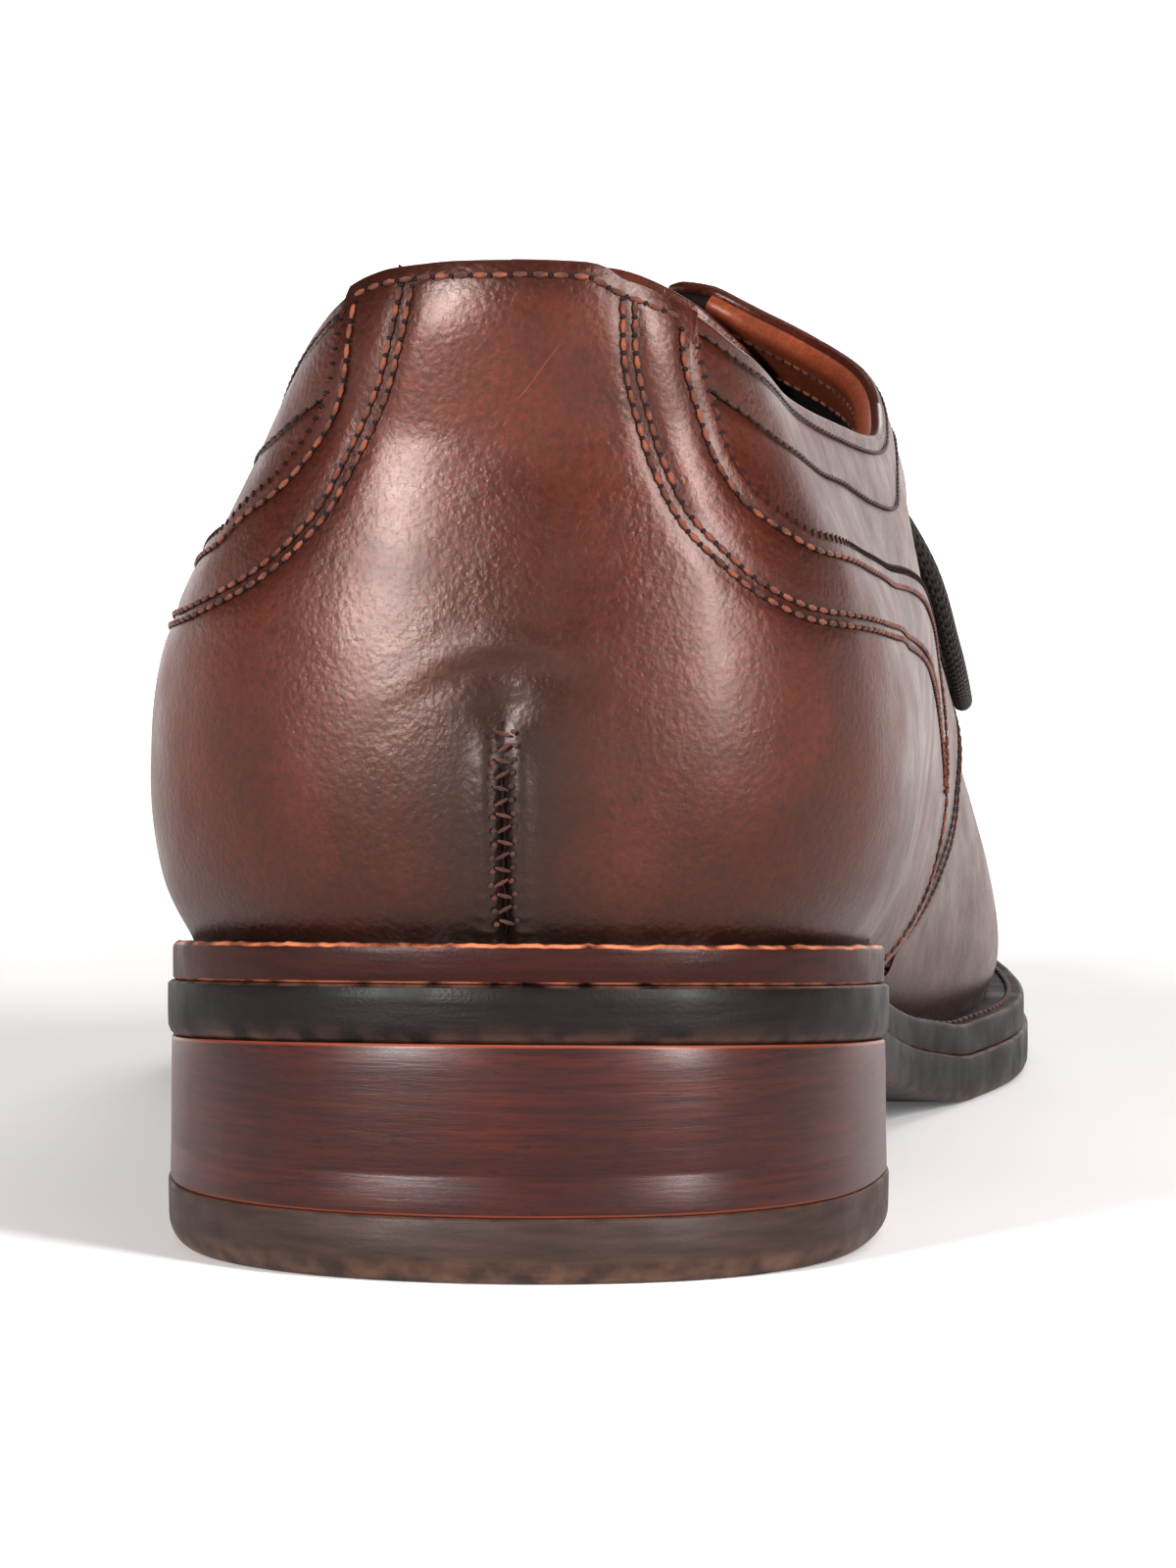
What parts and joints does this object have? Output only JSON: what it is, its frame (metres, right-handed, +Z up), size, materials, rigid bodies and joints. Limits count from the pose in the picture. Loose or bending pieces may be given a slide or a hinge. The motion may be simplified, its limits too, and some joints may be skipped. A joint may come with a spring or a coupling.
{
  "type": "plain toe derby shoe",
  "caption": "Left plain toe derby shoe in brown leather with open lacing, stacked heel, welt and arched sole; stands empty on heel and tread.",
  "frame": {"origin": "middle of the heel's flat underside, on the floor", "axes": "+Y towards the toe along the shoe, +X towards the inner (medial) side of the foot, +Z up"},
  "size_m": [0.1052, 0.305, 0.097],
  "materials": {
    "upper_leather": "burnished brown grain leather, semi-gloss",
    "lining_leather": "black lining leather, matt",
    "rand_leather": "brown waxed edge",
    "sole_edge": "near-black inked sole edge",
    "stacked_heel": "red-brown stacked heel with fine level grain, satin",
    "heel_rubber": "dark grey-brown rubber, matt",
    "eyelet_metal": "plain grey metal, hidden inside the facing",
    "lace_cord": "dark waxed round cord"
  },
  "bodies": {
    "root": {"upper": "upper_leather", "tongue": "upper_leather", "insole": "lining_leather", "heel_rand": "rand_leather", "welt": "sole_edge", "outsole": "sole_edge", "heel_stack": "stacked_heel", "top_lift": "heel_rubber", "eyelet_medial_1": "eyelet_metal", "eyelet_medial_2": "eyelet_metal", "eyelet_medial_3": "eyelet_metal", "eyelet_medial_4": "eyelet_metal", "eyelet_lateral_1": "eyelet_metal", "eyelet_lateral_2": "eyelet_metal", "eyelet_lateral_3": "eyelet_metal", "eyelet_lateral_4": "eyelet_metal", "lace_bar_1": "lace_cord", "lace_bar_2": "lace_cord", "lace_bar_3": "lace_cord", "lace_bar_4": "lace_cord", "lace_knot": "lace_cord", "lace_loop_medial": "lace_cord", "lace_loop_lateral": "lace_cord", "lace_end_medial": "lace_cord", "lace_end_lateral": "lace_cord"}
  },
  "joints": []
}
